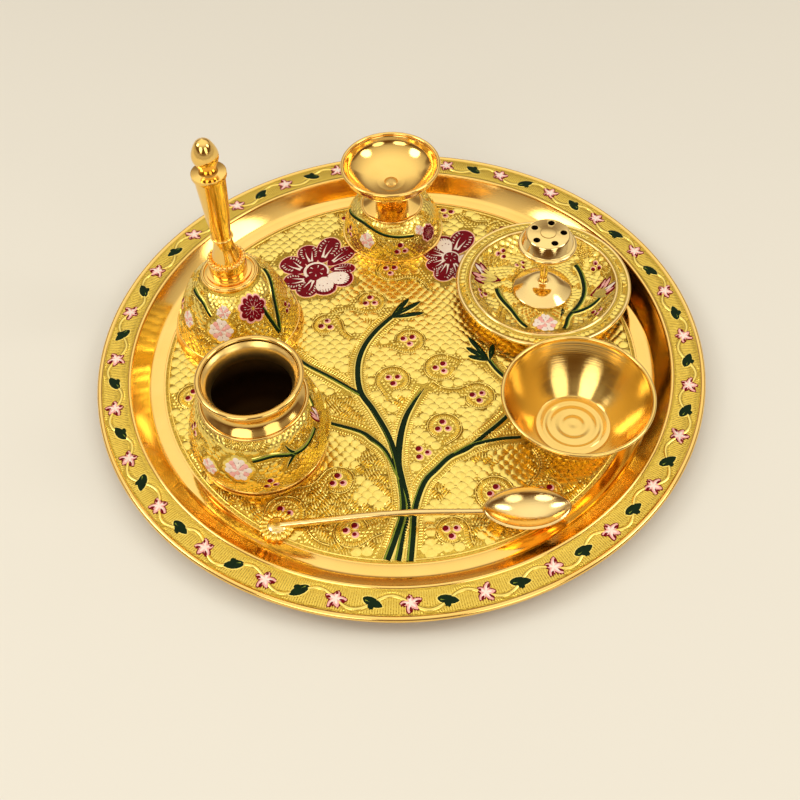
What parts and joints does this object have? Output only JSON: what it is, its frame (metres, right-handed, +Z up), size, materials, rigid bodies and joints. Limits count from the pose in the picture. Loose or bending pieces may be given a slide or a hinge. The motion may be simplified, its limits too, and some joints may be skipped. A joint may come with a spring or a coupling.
{
  "type": "puja thali set",
  "caption": "Round engraved brass worship tray with enamel flowers, holding a hand bell with a swinging clapper, a water pot, an oil lamp, an incense stand, a bowl and a spoon.",
  "frame": {"origin": "centre of the tray's flat underside", "axes": "+Z up; -Y towards the viewer, with the spoon in front, the lamp behind and the bell to the left"},
  "size_m": [0.28, 0.28, 0.1134],
  "materials": {
    "chased_brass": "chased and lacquered",
    "polished_brass": "mirror polished",
    "brushed_brass": "brushed",
    "plain_brass": "turned, unpolished",
    "maroon_enamel": "glossy enamel",
    "pink_enamel": "glossy enamel",
    "white_enamel": "glossy enamel",
    "green_enamel": "glossy enamel"
  },
  "bodies": {
    "tray": {"thali_tray": "chased_brass"},
    "bell": {"bell_cup": "chased_brass", "bell_handle": "polished_brass", "bell_clapper_eye": "plain_brass"},
    "bell_link": {"bell_clapper_link": "plain_brass"},
    "bell_clapper": {"bell_clapper": "plain_brass"},
    "lota": {"lota": "chased_brass"},
    "lamp": {"lamp_foot": "chased_brass", "lamp_stem": "polished_brass", "lamp_nut": "plain_brass", "lamp_cup": "polished_brass", "lamp_screw": "plain_brass"},
    "incense_stand": {"incense_saucer": "chased_brass", "incense_pedestal": "polished_brass", "incense_head": "polished_brass", "incense_screw": "plain_brass"},
    "katori": {"katori": "polished_brass"},
    "spoon": {"spoon": "brushed_brass"}
  },
  "joints": [
    {"name": "bell_lift", "type": "slide", "parent": "tray", "child": "bell", "axis": [0, 0, 1], "range_m": [0, 0.12]},
    {"name": "lota_lift", "type": "slide", "parent": "tray", "child": "lota", "axis": [0, 0, 1], "range_m": [0, 0.12]},
    {"name": "lamp_lift", "type": "slide", "parent": "tray", "child": "lamp", "axis": [0, 0, 1], "range_m": [0, 0.12]},
    {"name": "incense_stand_lift", "type": "slide", "parent": "tray", "child": "incense_stand", "axis": [0, 0, 1], "range_m": [0, 0.12]},
    {"name": "katori_lift", "type": "slide", "parent": "tray", "child": "katori", "axis": [0, 0, 1], "range_m": [0, 0.12]},
    {"name": "spoon_lift", "type": "slide", "parent": "tray", "child": "spoon", "axis": [0, 0, 1], "range_m": [0, 0.12]},
    {"name": "clapper_link_swing", "type": "hinge", "parent": "bell", "child": "bell_link", "pos_m": [-0.077, 0.02547, 0.0274], "axis": [1, 0, 0], "range_deg": [-60, 60]},
    {"name": "clapper_swing", "type": "hinge", "parent": "bell_link", "child": "bell_clapper", "pos_m": [-0.077, 0.02547, 0.0229], "axis": [0, 1, 0], "range_deg": [-60, 60]}
  ]
}
